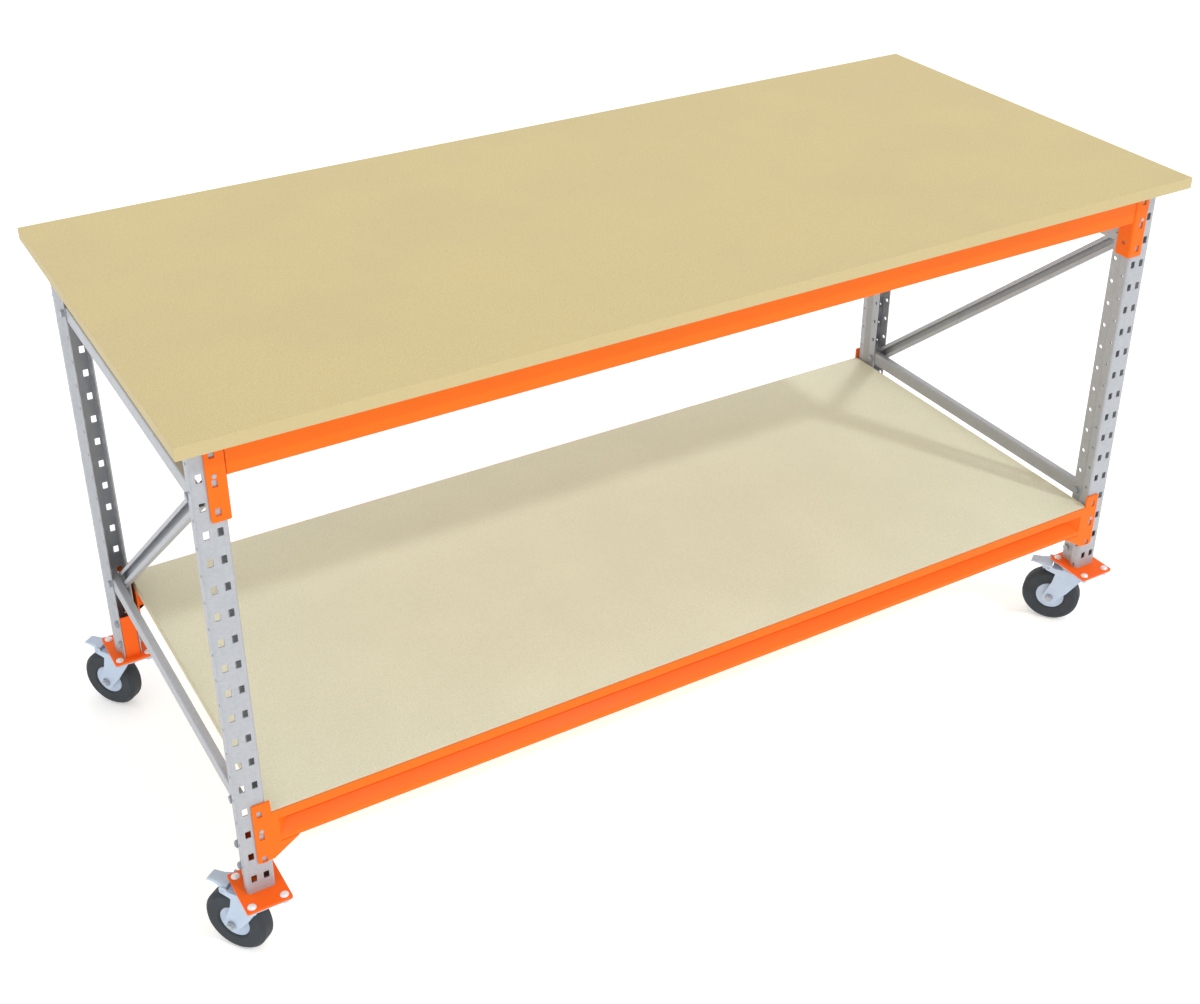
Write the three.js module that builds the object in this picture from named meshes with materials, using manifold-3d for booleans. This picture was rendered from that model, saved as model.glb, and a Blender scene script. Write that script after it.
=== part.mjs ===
// Assembly table: a worktop and a lower shelf on a frame of slotted posts, hook-on beams and bolted braces,
// which rolls on four swivel castors with foot brakes.
// Sizes are in millimetres. X runs along the table, Y from front to back and Z up, with the floor at Z = 0.

import * as THREE from "three";
import { mergeVertices } from "three/addons/utils/BufferGeometryUtils.js";
import Module from "manifold-3d";

const wasm = await Module();
wasm.setup();

// Boards
const worktopLength = 2020;
const worktopDepth = 900;
const worktopThickness = 22;
const shelfThickness = 20;

// Frame
const postSpacing = 1911; // between post centres along X
const frameDepth = 796; // over the slotted faces of the front and rear posts
const sheet = 2; // galvanised and beam sheet thickness
const touchGap = 0.3; // between pieces that rest against each other

// Posts: a wide slotted face, then a step in to a narrow throat that takes the braces
const postLength = 900;
const postFaceWidth = 50;
const postWideDepth = 17.7;
const postStepDepth = 12.9;
const postThroatDepth = 20.8;
const postStepIn = 7.3;
const slotPitch = 50;
const firstRowHeight = 31; // above the foot of the post
const slotTopMargin = 12; // least length of post over the highest row
const slotColumnOffset = 11;
const slotWidth = 10;
const slotHeight = 15;
const sideHoleRadius = 4.6;

// Connectors: bent plates with hooks, one at each end of each beam
const connectorPlate = 3.5;
const connectorOuterLap = 1; // past the post centre line
const connectorFlangeGap = 3; // between the side flange and the post
const connectorFlangeDepth = 33; // behind the post face
const windowWidth = 9;
const windowHeight = 14;
const windowDrop = 13; // below the slot row that its hook enters
const hookThickness = 4;
const hookReach = 6.5;
const hookDrop = 6;
const pinRadius = 4;
const pinProud = 2;
const pinDrop = 0.5; // below the middle hook row
const lowerConnectorRows = [1, 2, 3];
const lowerConnectorBelow = 18.5; // under the lowest hook row
const upperConnectorBelow = 30;
const connectorAbove = 8; // over the highest hook row
const flangeHoleRadius = 4;

// Beams
const upperBeamHeight = 75;
const upperBeamDepth = 40;
const upperBeamSetback = 2.5; // behind the connector face
const lowerBeamLip = 22; // from the top of the shelf down to the recess
const lipDrop = 1.6; // edge of the lip below the top of the shelf
const recessHeight = 37;
const recessDepth = 42;
const bottomLip = 11.5;
const bottomReturn = 18.5;
const recessEndLength = 11.2; // face of the connector between its flange and the recess
const haunchLength = 48;
const haunchHeight = 32;
const shelfRise = 34; // top of the shelf over the middle hook row

// Braces
const braceHeight = 31;
const braceDepth = 15;
const braceLip = 8.5;
const braceEnd = 14; // past the bolt
const lowerBraceRow = 3;
const boltRadius = 4;
const boltHeadRadius = 7.5;
const boltHeadHeight = 5;

// Foot plates under the posts
const footLength = 104;
const footWidth = 82;
const footThickness = 5;
const footInset = 12; // plate centre behind the slotted face
const upstandHeight = 99;
const footBoltRows = [0, 1];

// Castors
const wheelRadius = 62.5;
const wheelWidth = 36;
const wheelSides = 20;
const castorHeadroom = 27; // between the top of the wheel and the foot plate
const castorTurn = 125.7; // degrees from +X to the direction in which the wheel trails
const castorPlateLength = 100;
const castorPlateWidth = 78;
const castorPlateThickness = 4;
const cornerBoltX = 29;
const cornerBoltY = 41;
const domeRadius = 8;
const domeHeight = 4.5;
const nutHeight = 6;
const raceRadius = 27;
const raceHeight = 7;
const kingpinRadius = 7;
const runningGap = 0.1;
const crownThickness = 4;
const crownRadius = 29;
const shoulderWidth = 7;
const shoulderDepth = 6;
const hubRadius = 31;
const hubWidth = 30;
const hubBossRadius = 12;
const axleRadius = 5;
const trail = 53;
const legThickness = 3;
const legGap = 3; // between the tyre and each fork leg
const legEndRadius = 15;
const heelSetback = 36; // narrowing of the fork leg in front of the axle
const heelRise = 20; // over the axle
const waistDrop = 36; // narrowing behind the axle, under the crown
const pedalSetback = 11; // pivot behind the axle
const pedalPivotDrop = 13; // under the foot plate
const pedalPinRadius = 3;
const pedalBarrelRadius = 5.5;
const pedalSideGap = 2; // between the pedal and each fork leg
const pedalRise = 7.4; // top of the pedal over its pivot
const pedalReach = 40;
const pedalTipDrop = 3;
const pedalThickness = 3;
const pedalTipWidth = 24;
const shoeDrop = 12; // foot of the brake shoe under the pivot

// Heights and positions that follow from the sizes above
const castorHeight = 2 * wheelRadius + castorHeadroom; // floor to the underside of the foot plate
const footTop = castorHeight + footThickness;
const worktopUnderside = footTop + postLength;
const postX = postSpacing / 2;
const postFaceY = -frameDepth / 2;
const postDepth = postWideDepth + postStepDepth + postThroatDepth;
const throatHalf = postFaceWidth / 2 - postStepIn;
const boltY = postDepth - postThroatDepth / 2 + 1;
const flangeX = postX - postFaceWidth / 2 - connectorFlangeGap - connectorPlate;
const plateEndX = postX + connectorOuterLap;
const rowHeight = (row) => footTop + firstRowHeight + row * slotPitch;
const slotRows = Math.floor((postLength - firstRowHeight - slotTopMargin) / slotPitch) + 1;
const upperConnectorRows = [slotRows - 3, slotRows - 2, slotRows - 1];
const upperBraceRow = upperConnectorRows[0];
const shelfTop = rowHeight(lowerConnectorRows[1]) + shelfRise;
const ledgeTop = shelfTop - shelfThickness;
const lipTop = shelfTop - lipDrop;
const recessTop = shelfTop - lowerBeamLip;
const recessBottom = recessTop - recessHeight;
const lowerBeamBottom = recessBottom - bottomLip;

// Materials
const paint = (color, roughness, metalness) => ({ color, roughness, metalness });
const boardLook = paint(0xdbc797, 0.7, 0);
const shelfLook = paint(0xdbd2b3, 0.75, 0);
const orangeLook = paint(0xf5702a, 0.45, 0.1);
const zincLook = paint(0xc3c6cc, 0.4, 0.8);
const castorLook = paint(0xb9bfc8, 0.4, 0.7);
const tyreLook = paint(0x3a4046, 0.85, 0);
const hubLook = paint(0xa9aeb6, 0.55, 0.1);

const table = new THREE.Group();
table.name = "assembly_table";

// Solid helpers
function solidFrom(geometry) {
  const loose = geometry.index ? geometry.toNonIndexed() : geometry;
  const bare = new THREE.BufferGeometry().setAttribute("position", loose.getAttribute("position"));
  const merged = mergeVertices(bare, 1e-4);
  const mesh = new wasm.Mesh({
    numProp: 3,
    vertProperties: merged.attributes.position.array,
    triVerts: new Uint32Array(merged.index.array),
  });
  return new wasm.Manifold(mesh);
}

function addPiece(name, solid, look) {
  const made = solid.getMesh();
  const geometry = new THREE.BufferGeometry();
  geometry.setAttribute("position", new THREE.BufferAttribute(new Float32Array(made.vertProperties), 3));
  geometry.setIndex(new THREE.BufferAttribute(new Uint32Array(made.triVerts), 1));
  geometry.computeVertexNormals();
  const mesh = new THREE.Mesh(geometry, new THREE.MeshStandardMaterial(look));
  mesh.name = name;
  table.add(mesh);
}

// An outline is a list of [a, b] points. It is drawn out along one axis from one place to another.
function prism(outline, holes, length, basis) {
  const shape = new THREE.Shape(outline.map(([a, b]) => new THREE.Vector2(a, b)));
  for (const hole of holes) {
    shape.holes.push(new THREE.Path(hole.map(([a, b]) => new THREE.Vector2(a, b))));
  }
  const geometry = new THREE.ExtrudeGeometry(shape, { depth: length, bevelEnabled: false, steps: 1 });
  return solidFrom(geometry.applyMatrix4(basis));
}

const axisX = new THREE.Vector3(1, 0, 0);
const axisY = new THREE.Vector3(0, 1, 0);
const axisZ = new THREE.Vector3(0, 0, 1);
const backwards = new THREE.Vector3(0, -1, 0);

// Outline in (y, z)
function alongX(outline, from, to, holes = []) {
  const basis = new THREE.Matrix4().makeBasis(axisY, axisZ, axisX).setPosition(from, 0, 0);
  return prism(outline, holes, to - from, basis);
}

// Outline in (x, z)
function alongY(outline, from, to, holes = []) {
  const basis = new THREE.Matrix4().makeBasis(axisX, axisZ, backwards).setPosition(0, to, 0);
  return prism(outline, holes, to - from, basis);
}

// Outline in (x, y)
function alongZ(outline, from, to, holes = []) {
  const basis = new THREE.Matrix4().makeBasis(axisX, axisY, axisZ).setPosition(0, 0, from);
  return prism(outline, holes, to - from, basis);
}

const rectangle = (a0, a1, b0, b1) => [
  [a0, b0],
  [a1, b0],
  [a1, b1],
  [a0, b1],
];

function block(x0, x1, y0, y1, z0, z1) {
  return alongZ(rectangle(x0, x1, y0, y1), z0, z1);
}

function regular(a, b, radius, sides, turn = 0) {
  const points = [];
  for (let i = 0; i < sides; i++) {
    const angle = ((i + turn) * 2 * Math.PI) / sides;
    points.push([a + radius * Math.cos(angle), b + radius * Math.sin(angle)]);
  }
  return points;
}

// The first half of a symmetrical outline, followed by its mirror image across a = 0
function mirrored(half) {
  return [...half, ...half.map(([a, b]) => [-a, b]).reverse()];
}

// A closed profile of [radius, height] points, turned about the Y axis
function turned(profile, sides, turn = 0) {
  const points = [...profile, profile[0]].map(([r, h]) => new THREE.Vector2(r, h));
  const geometry = new THREE.LatheGeometry(points, sides, (turn * 2 * Math.PI) / sides);
  return solidFrom(geometry);
}

// A bolt along X with a head at its low end and a nut at its high end
function crossBolt(y, z, head, nut) {
  const shank = alongX(regular(y, z, boltRadius, 8), head - 1, nut + boltHeadHeight + 3);
  const headSolid = alongX(regular(y, z, boltHeadRadius, 6), head - boltHeadHeight, head);
  const nutSolid = alongX(regular(y, z, boltHeadRadius, 6), nut, nut + boltHeadHeight);
  return shank.add(headSolid).add(nutSolid);
}

// Posts, drawn with the slotted face on Y = 0 and the open side behind it
function postSolid() {
  const half = postFaceWidth / 2;
  const stepEnd = postWideDepth + postStepDepth;
  const stepSlope = postStepIn / postStepDepth;
  const innerShift = sheet * (Math.sqrt(1 + stepSlope * stepSlope) - 1) / stepSlope;
  const section = mirrored([
    [half - sheet, sheet],
    [half - sheet, postWideDepth - innerShift],
    [throatHalf - sheet, stepEnd - innerShift],
    [throatHalf - sheet, postDepth],
    [throatHalf, postDepth],
    [throatHalf, stepEnd],
    [half, postWideDepth],
    [half, sheet],
    [half - sheet, 0],
  ]);
  let post = alongZ(section, footTop, worktopUnderside);
  for (let row = 0; row < slotRows; row++) {
    const z = rowHeight(row);
    for (const side of [-1, 1]) {
      const x = side * slotColumnOffset;
      const slot = rectangle(x - slotWidth / 2, x + slotWidth / 2, z - slotHeight / 2, z + slotHeight / 2);
      post = post.subtract(alongY(slot, -1, sheet + 1));
    }
  }
  for (const row of [lowerBraceRow, upperBraceRow]) {
    const hole = regular(boltY, rowHeight(row), sideHoleRadius, 8);
    post = post.subtract(alongX(hole, -postFaceWidth, postFaceWidth));
  }
  for (const row of footBoltRows) {
    post = post.add(crossBolt(boltY, rowHeight(row), -throatHalf, throatHalf));
  }
  return post;
}

// Places a front, right-hand piece at each of the four corners. The piece is drawn at its true place
// for X, and with Y = 0 on the slotted face of the front posts.
const corners = [
  { name: "front_left", x: -1, y: -1 },
  { name: "front_right", x: 1, y: -1 },
  { name: "rear_left", x: -1, y: 1 },
  { name: "rear_right", x: 1, y: 1 },
];

function atCorner(solid, corner) {
  let placed = solid.translate([0, postFaceY, 0]);
  if (corner.x < 0) placed = placed.mirror([1, 0, 0]);
  if (corner.y > 0) placed = placed.mirror([0, 1, 0]);
  return placed;
}

const post = postSolid().translate([postX, 0, 0]);
for (const corner of corners) {
  addPiece("post_" + corner.name, atCorner(post, corner), zincLook);
}

// Connectors
function hooksAndWindows(plate, rows) {
  const hookX = postX - slotColumnOffset;
  let connector = plate;
  for (const row of rows) {
    const z = rowHeight(row);
    const middle = z - windowDrop;
    const opening = rectangle(
      hookX - windowWidth / 2,
      hookX + windowWidth / 2,
      middle - windowHeight / 2,
      middle + windowHeight / 2,
    );
    connector = connector.subtract(alongY(opening, -connectorPlate - 1, 1));
    const rest = z - slotHeight / 2 + touchGap;
    const hook = [
      [-connectorPlate + 1, z + slotHeight / 2 - 2],
      [hookReach, z + slotHeight / 2 - 4],
      [hookReach, rest - hookDrop],
      [sheet + touchGap, rest - hookDrop],
      [sheet + touchGap, rest],
      [-connectorPlate + 1, rest],
    ];
    connector = connector.add(alongX(hook, hookX - hookThickness / 2, hookX + hookThickness / 2));
  }
  const pinHeight = rowHeight(rows[1]) - pinDrop;
  const pin = alongY(regular(hookX, pinHeight, pinRadius, 10), -connectorPlate - pinProud, -1);
  return connector.add(pin);
}

function sideFlange(from, to) {
  return block(flangeX, flangeX + connectorPlate, -connectorPlate, connectorFlangeDepth, from, to);
}

function lowerConnector() {
  const bottom = rowHeight(lowerConnectorRows[0]) - lowerConnectorBelow;
  const top = rowHeight(lowerConnectorRows[2]) + connectorAbove;
  const recessX = flangeX - recessEndLength;
  const haunchEndX = flangeX + connectorPlate;
  const gusset = [
    [haunchEndX, lipTop],
    [recessX, lipTop],
    [recessX, lowerBeamBottom],
    [haunchEndX - haunchLength, lowerBeamBottom],
    [haunchEndX, Math.max(lowerBeamBottom - haunchHeight, bottom)],
  ];
  const plate = alongY(rectangle(flangeX, plateEndX, bottom, top), -connectorPlate, 0)
    .add(alongY(gusset, -connectorPlate, -connectorPlate + sheet))
    .add(sideFlange(bottom, ledgeTop - touchGap));
  return hooksAndWindows(plate.add(recessEnd(recessX)), lowerConnectorRows);
}

// The slanted plate that closes the end of the beam's recess
function recessEnd(recessX) {
  const front = -connectorPlate;
  const depth = recessDepth - 5;
  const slope = recessHeight / recessDepth;
  const wall = [
    [recessX + connectorPlate, front],
    [recessX + connectorPlate, front + connectorPlate],
    [recessX + 1, front + connectorPlate],
    [recessX - depth, front + depth + 1],
    [recessX - depth, front + depth],
    [recessX, front],
  ];
  const slanted = alongZ(wall, recessBottom, recessTop - touchGap);
  const clear = touchGap * 1.5;
  const keep = [
    [front - 1, recessBottom + clear - slope],
    [front + recessDepth, recessTop + clear],
    [front - 1, recessTop + clear],
  ];
  return slanted.intersect(alongX(keep, recessX - recessDepth, recessX + 2 * connectorPlate));
}

function upperConnector() {
  const bottom = rowHeight(upperConnectorRows[0]) - upperConnectorBelow;
  const top = rowHeight(upperConnectorRows[2]) + connectorAbove;
  const plate = alongY(rectangle(flangeX, plateEndX, bottom, top), -connectorPlate, 0);
  const hole = regular(connectorFlangeDepth / 2, bottom + upperConnectorBelow, flangeHoleRadius, 10);
  const flange = sideFlange(bottom, top).subtract(alongX(hole, flangeX - 1, flangeX + connectorPlate + 1));
  return hooksAndWindows(plate.add(flange), upperConnectorRows);
}

const lower = lowerConnector();
const upper = upperConnector();
for (const corner of corners) {
  addPiece("lower_connector_" + corner.name, atCorner(lower, corner), orangeLook);
  addPiece("upper_connector_" + corner.name, atCorner(upper, corner), orangeLook);
}

// Beams
function upperBeam() {
  const front = -connectorPlate + upperBeamSetback;
  const back = front + upperBeamDepth;
  const low = worktopUnderside - upperBeamHeight;
  const outside = rectangle(front, back, low, worktopUnderside);
  const inside = rectangle(front + sheet, back - sheet, low + sheet, worktopUnderside - sheet);
  return alongX(outside, -flangeX + touchGap, flangeX - touchGap, [inside]);
}

function lowerBeam() {
  const front = -connectorPlate;
  const inner = front + sheet;
  const slope = recessHeight / recessDepth;
  const underside = sheet * Math.sqrt(1 + slope * slope);
  const backEdge = front + recessDepth + 4.5;
  const webUnder = (y) => recessBottom - underside + slope * (y - front);
  const section = [
    [front, lipTop],
    [front, recessTop],
    [front + recessDepth, recessTop],
    [front, recessBottom],
    [front, lowerBeamBottom],
    [front + bottomReturn, lowerBeamBottom],
    [front + bottomReturn, lowerBeamBottom + sheet],
    [inner, lowerBeamBottom + sheet],
    [inner, webUnder(inner)],
    [backEdge, Math.min(webUnder(backEdge), ledgeTop - 0.5)],
    [backEdge, ledgeTop],
    [inner, ledgeTop],
    [inner, lipTop],
  ];
  let beam = alongX(section, -flangeX + touchGap, flangeX - touchGap);
  const cut = flangeX - recessEndLength - touchGap;
  for (const side of [-1, 1]) {
    const x0 = Math.min(side * cut, side * postX);
    const x1 = Math.max(side * cut, side * postX);
    beam = beam.subtract(block(x0, x1, front - 1, inner + touchGap, lowerBeamBottom - 1, shelfTop + 1));
  }
  return beam;
}

const frontBeam = { x: 1, y: -1 };
const rearBeam = { x: 1, y: 1 };
addPiece("upper_beam_front", atCorner(upperBeam(), frontBeam), orangeLook);
addPiece("upper_beam_rear", atCorner(upperBeam(), rearBeam), orangeLook);
addPiece("lower_beam_front", atCorner(lowerBeam(), frontBeam), orangeLook);
addPiece("lower_beam_rear", atCorner(lowerBeam(), rearBeam), orangeLook);

// Braces. Both end frames have the flat braces on the left-hand half of the post throat and the diagonal
// on the right.
const throatInner = throatHalf - sheet;
const braceFrontY = postFaceY + boltY;
const upperBoltZ = rowHeight(upperBraceRow);
const lowerBoltZ = rowHeight(lowerBraceRow);

function flatBrace(z) {
  const low = z - braceHeight / 2;
  const high = z + braceHeight / 2;
  const web = -throatInner + touchGap;
  const edge = web + braceDepth - 2 * touchGap;
  const section = [
    [web, low],
    [edge, low],
    [edge, low + sheet],
    [web + sheet, low + sheet],
    [web + sheet, high - sheet],
    [edge, high - sheet],
    [edge, high],
    [web, high],
  ];
  const end = -braceFrontY + braceEnd;
  let brace = alongY(section, -end, end);
  for (const y of [braceFrontY, -braceFrontY]) {
    brace = brace.add(crossBolt(y, z, -throatHalf, throatHalf));
  }
  return brace;
}

function diagonalBrace() {
  const run = -2 * braceFrontY;
  const rise = upperBoltZ - lowerBoltZ;
  const length = Math.hypot(run, rise) + 2 * braceEnd;
  const half = braceHeight / 2;
  const web = throatInner - touchGap;
  const edge = web - braceDepth + 2 * touchGap;
  const section = [
    [web, -half],
    [web, half],
    [edge, half],
    [edge, half - braceLip],
    [edge + sheet, half - braceLip],
    [edge + sheet, half - sheet],
    [web - sheet, half - sheet],
    [web - sheet, sheet - half],
    [edge + sheet, sheet - half],
    [edge + sheet, braceLip - half],
    [edge, braceLip - half],
    [edge, -half],
  ];
  const fall = (Math.atan2(rise, run) * 180) / Math.PI;
  const brace = alongY(section, -length / 2, length / 2)
    .rotate([-fall, 0, 0])
    .translate([0, 0, (upperBoltZ + lowerBoltZ) / 2]);
  const clear = boltRadius + touchGap;
  const upperHole = alongX(regular(braceFrontY, upperBoltZ, clear, 10), -throatHalf, throatHalf);
  const lowerHole = alongX(regular(-braceFrontY, lowerBoltZ, clear, 10), -throatHalf, throatHalf);
  return brace.subtract(upperHole).subtract(lowerHole);
}

for (const end of [
  { name: "left", x: -postX },
  { name: "right", x: postX },
]) {
  addPiece("upper_brace_" + end.name, flatBrace(upperBoltZ).translate([end.x, 0, 0]), zincLook);
  addPiece("lower_brace_" + end.name, flatBrace(lowerBoltZ).translate([end.x, 0, 0]), zincLook);
  addPiece("diagonal_brace_" + end.name, diagonalBrace().translate([end.x, 0, 0]), zincLook);
}

// Foot plates, each with a channel that stands in the throat of its post
function footSolid() {
  const front = footInset - footLength / 2;
  const outline = rectangle(-footWidth / 2, footWidth / 2, front, front + footLength);
  const holes = [];
  for (const x of [-cornerBoltX, cornerBoltX]) {
    for (const y of [-cornerBoltY, cornerBoltY]) {
      holes.push(regular(x, footInset + y, boltRadius + touchGap, 8));
    }
  }
  const plate = alongZ(outline, castorHeight, footTop, holes);
  const wide = throatInner - touchGap;
  const channel = mirrored([
    [wide - sheet, postDepth - sheet],
    [wide - sheet, postDepth - postThroatDepth],
    [wide, postDepth - postThroatDepth],
    [wide, postDepth],
  ]);
  let foot = plate.add(alongZ(channel, footTop - 1, footTop + upstandHeight));
  for (const row of footBoltRows) {
    const hole = regular(boltY, rowHeight(row), boltRadius + touchGap, 10);
    foot = foot.subtract(alongX(hole, -throatInner, throatInner));
  }
  return foot;
}

const foot = footSolid().translate([postX, 0, 0]);
for (const corner of corners) {
  addPiece("foot_" + corner.name, atCorner(foot, corner), orangeLook);
}

// Castors, drawn about the swivel axis with the wheel trailing along +X
const plateUnder = castorHeight - castorPlateThickness;
const crownTop = plateUnder - raceHeight - touchGap;
const crownUnder = crownTop - crownThickness;
const legInner = wheelWidth / 2 + legGap;
const legOuter = legInner + legThickness;
const pedalPivotTrail = trail + pedalSetback;
const pedalPivotZ = castorHeight - pedalPivotDrop;

function castorPlate() {
  const halfWidth = castorPlateWidth / 2;
  const halfLength = castorPlateLength / 2;
  const outline = rectangle(-halfWidth, halfWidth, -halfLength, halfLength);
  let plate = alongZ(outline, plateUnder, castorHeight);
  for (const x of [-cornerBoltX, cornerBoltX]) {
    for (const y of [-cornerBoltY, cornerBoltY]) {
      plate = plate.add(alongZ(regular(x, y, boltRadius, 8), plateUnder - nutHeight, footTop + 1));
      plate = plate.add(alongZ(regular(x, y, domeRadius, 8), footTop + touchGap, footTop + domeHeight));
      plate = plate.add(alongZ(regular(x, y, boltHeadRadius, 6), plateUnder - nutHeight, plateUnder));
    }
  }
  const race = alongZ(regular(0, 0, raceRadius, 16), plateUnder - raceHeight, plateUnder);
  const kingpin = alongZ(regular(0, 0, kingpinRadius - runningGap, 16), crownUnder - 5, plateUnder);
  const kingpinHead = alongZ(regular(0, 0, kingpinRadius + 4, 8), crownUnder - 5, crownUnder - touchGap);
  return plate.add(race).add(kingpin).add(kingpinHead);
}

function fork() {
  const boreRadius = kingpinRadius / Math.cos(Math.PI / 16);
  const disc = alongZ(regular(0, 0, crownRadius, 20), crownUnder, crownTop);
  const lobeX = pedalPivotTrail + 6;
  const bridge = block(-10, trail - 5, -legInner, legInner, crownUnder, crownTop);
  const bore = alongZ(regular(0, 0, boreRadius, 16), crownUnder - 1, crownTop + 1);
  const crown = disc.add(bridge).subtract(bore);
  const leg = [
    [-12, crownTop],
    [-10, crownTop - 16],
    [trail - heelSetback, wheelRadius + heelRise],
  ];
  for (let i = 0; i <= 5; i++) {
    const angle = ((215 + i * 32) * Math.PI) / 180;
    leg.push([trail + legEndRadius * Math.cos(angle), wheelRadius + legEndRadius * Math.sin(angle)]);
  }
  leg.push(
    [trail - 1, crownTop - waistDrop],
    [trail - 5.5, pedalPivotZ - 12],
    [lobeX, pedalPivotZ - 5],
    [lobeX, pedalPivotZ + 3],
    [lobeX - 3, crownTop],
  );
  const legHole = regular(trail, wheelRadius, axleRadius + touchGap, 10);
  let made = crown;
  made = made.add(alongY(leg, legInner, legOuter, [legHole]));
  made = made.add(alongY(leg, -legOuter, -legInner, [legHole]));
  return made.add(alongY(regular(pedalPivotTrail, pedalPivotZ, pedalPinRadius, 10), -legOuter, legOuter));
}

function tyre() {
  const flat = 1 / Math.cos(Math.PI / wheelSides);
  const half = wheelWidth / 2;
  const inner = hubRadius + touchGap;
  const shoulder = (wheelRadius - shoulderDepth) * flat;
  const profile = [
    [inner, -half],
    [shoulder, -half],
    [wheelRadius * flat, -half + shoulderWidth],
    [wheelRadius * flat, half - shoulderWidth],
    [shoulder, half],
    [inner, half],
  ];
  return turned(profile, wheelSides, 0.5);
}

function hub() {
  const half = hubWidth / 2;
  const boss = legInner - 0.5;
  const bore = axleRadius / Math.cos(Math.PI / wheelSides) + runningGap;
  const profile = [
    [bore, -boss],
    [hubBossRadius, -boss],
    [hubBossRadius, -half],
    [hubRadius, -half],
    [hubRadius, half],
    [hubBossRadius, half],
    [hubBossRadius, boss],
    [bore, boss],
  ];
  return turned(profile, wheelSides, 0.5);
}

function axle() {
  const shank = alongY(regular(trail, wheelRadius, axleRadius, wheelSides), -legOuter - 7, legOuter + 7);
  const head = alongY(regular(trail, wheelRadius, 9, 6), legOuter + touchGap, legOuter + 5);
  const nut = alongY(regular(trail, wheelRadius, 9, 6), -legOuter - 5, -legOuter - touchGap);
  return shank.add(head).add(nut);
}

// The pedal's tread is folded down into an ear at each side, where it meets the pivot
function pedal() {
  const half = legInner - pedalSideGap;
  const tipHalf = pedalTipWidth / 2;
  const rootX = pedalPivotTrail - pedalBarrelRadius;
  const tipX = pedalPivotTrail + pedalReach;
  const rootTop = pedalPivotZ + pedalRise;
  const tipTop = rootTop - pedalTipDrop;
  const side = [
    [rootX, rootTop],
    [rootX, rootTop - pedalThickness],
    [tipX - 6, tipTop - pedalThickness],
    [tipX, tipTop - pedalThickness - 4],
    [tipX + 2, tipTop - pedalThickness - 2],
    [tipX, tipTop],
  ];
  const skirt = [
    [rootX, rootTop - 1],
    [rootX, pedalPivotZ - pedalBarrelRadius],
    [pedalPivotTrail + 10, pedalPivotZ - pedalBarrelRadius],
    [pedalPivotTrail + 28, rootTop - pedalThickness - 2],
    [pedalPivotTrail + 28, rootTop - 3],
  ];
  const planInside = (inset) => {
    const outline = mirrored([
      [half - inset, rootX - inset],
      [half - inset, pedalPivotTrail],
      [half - 2 - inset, pedalPivotTrail + 6],
      [tipHalf + 1 - inset, pedalPivotTrail + 18],
      [tipHalf - inset, tipX + 3],
    ]);
    const points = outline.map(([v, u]) => [u, v]);
    return alongZ(points, 0, castorHeight);
  };
  const plan = planInside(0);
  const tread = alongY(side, -half, half).intersect(plan);
  const ears = alongY(skirt, -half, half).intersect(plan).subtract(planInside(pedalThickness));
  const barrel = alongY(regular(pedalPivotTrail, pedalPivotZ, pedalBarrelRadius, 10), -half, half);
  const shoe = block(
    pedalPivotTrail + 8,
    pedalPivotTrail + 14,
    -tipHalf + 2,
    tipHalf - 2,
    pedalPivotZ - shoeDrop,
    rootTop - pedalThickness,
  );
  const boreRadius = pedalPinRadius / Math.cos(Math.PI / 10) + runningGap;
  const bore = alongY(regular(pedalPivotTrail, pedalPivotZ, boreRadius, 10), -half - 1, half + 1);
  return barrel.add(tread).add(ears).add(shoe).subtract(bore);
}

const castorParts = [
  { name: "fork", solid: fork(), look: castorLook },
  { name: "tyre", solid: tyre().translate([trail, 0, wheelRadius]), look: tyreLook },
  { name: "hub", solid: hub().translate([trail, 0, wheelRadius]), look: hubLook },
  { name: "axle", solid: axle(), look: castorLook },
  { name: "brake_pedal", solid: pedal(), look: castorLook },
];
const plateSolid = castorPlate();
const castorY = -postFaceY - footInset;
for (const corner of corners) {
  const centre = [corner.x * postX, corner.y * castorY, 0];
  addPiece("castor_plate_" + corner.name, plateSolid.translate(centre), castorLook);
  for (const part of castorParts) {
    const placed = part.solid.rotate([0, 0, castorTurn]).translate(centre);
    addPiece(part.name + "_" + corner.name, placed, part.look);
  }
}

// Boards
const worktop = block(
  -worktopLength / 2,
  worktopLength / 2,
  -worktopDepth / 2,
  worktopDepth / 2,
  worktopUnderside,
  worktopUnderside + worktopThickness,
);
addPiece("worktop", worktop, boardLook);

function shelfSolid() {
  const endX = postX - postFaceWidth / 2 - connectorFlangeGap;
  const notchX = flangeX - 0.6;
  const edgeY = frameDepth / 2 + connectorPlate - sheet - 0.5;
  const notchY = frameDepth / 2 - 0.6;
  const half = [
    [notchX, -edgeY],
    [notchX, -notchY],
    [endX, -notchY],
    [endX, notchY],
    [notchX, notchY],
    [notchX, edgeY],
  ];
  return alongZ(mirrored(half), ledgeTop, shelfTop);
}
addPiece("lower_shelf", shelfSolid(), shelfLook);

export default table;
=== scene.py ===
"""Looks of the assembly table: fine meshes, procedural materials, studio light and camera."""

import math

import bmesh
import bpy
from mathutils import Matrix, Vector


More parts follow.
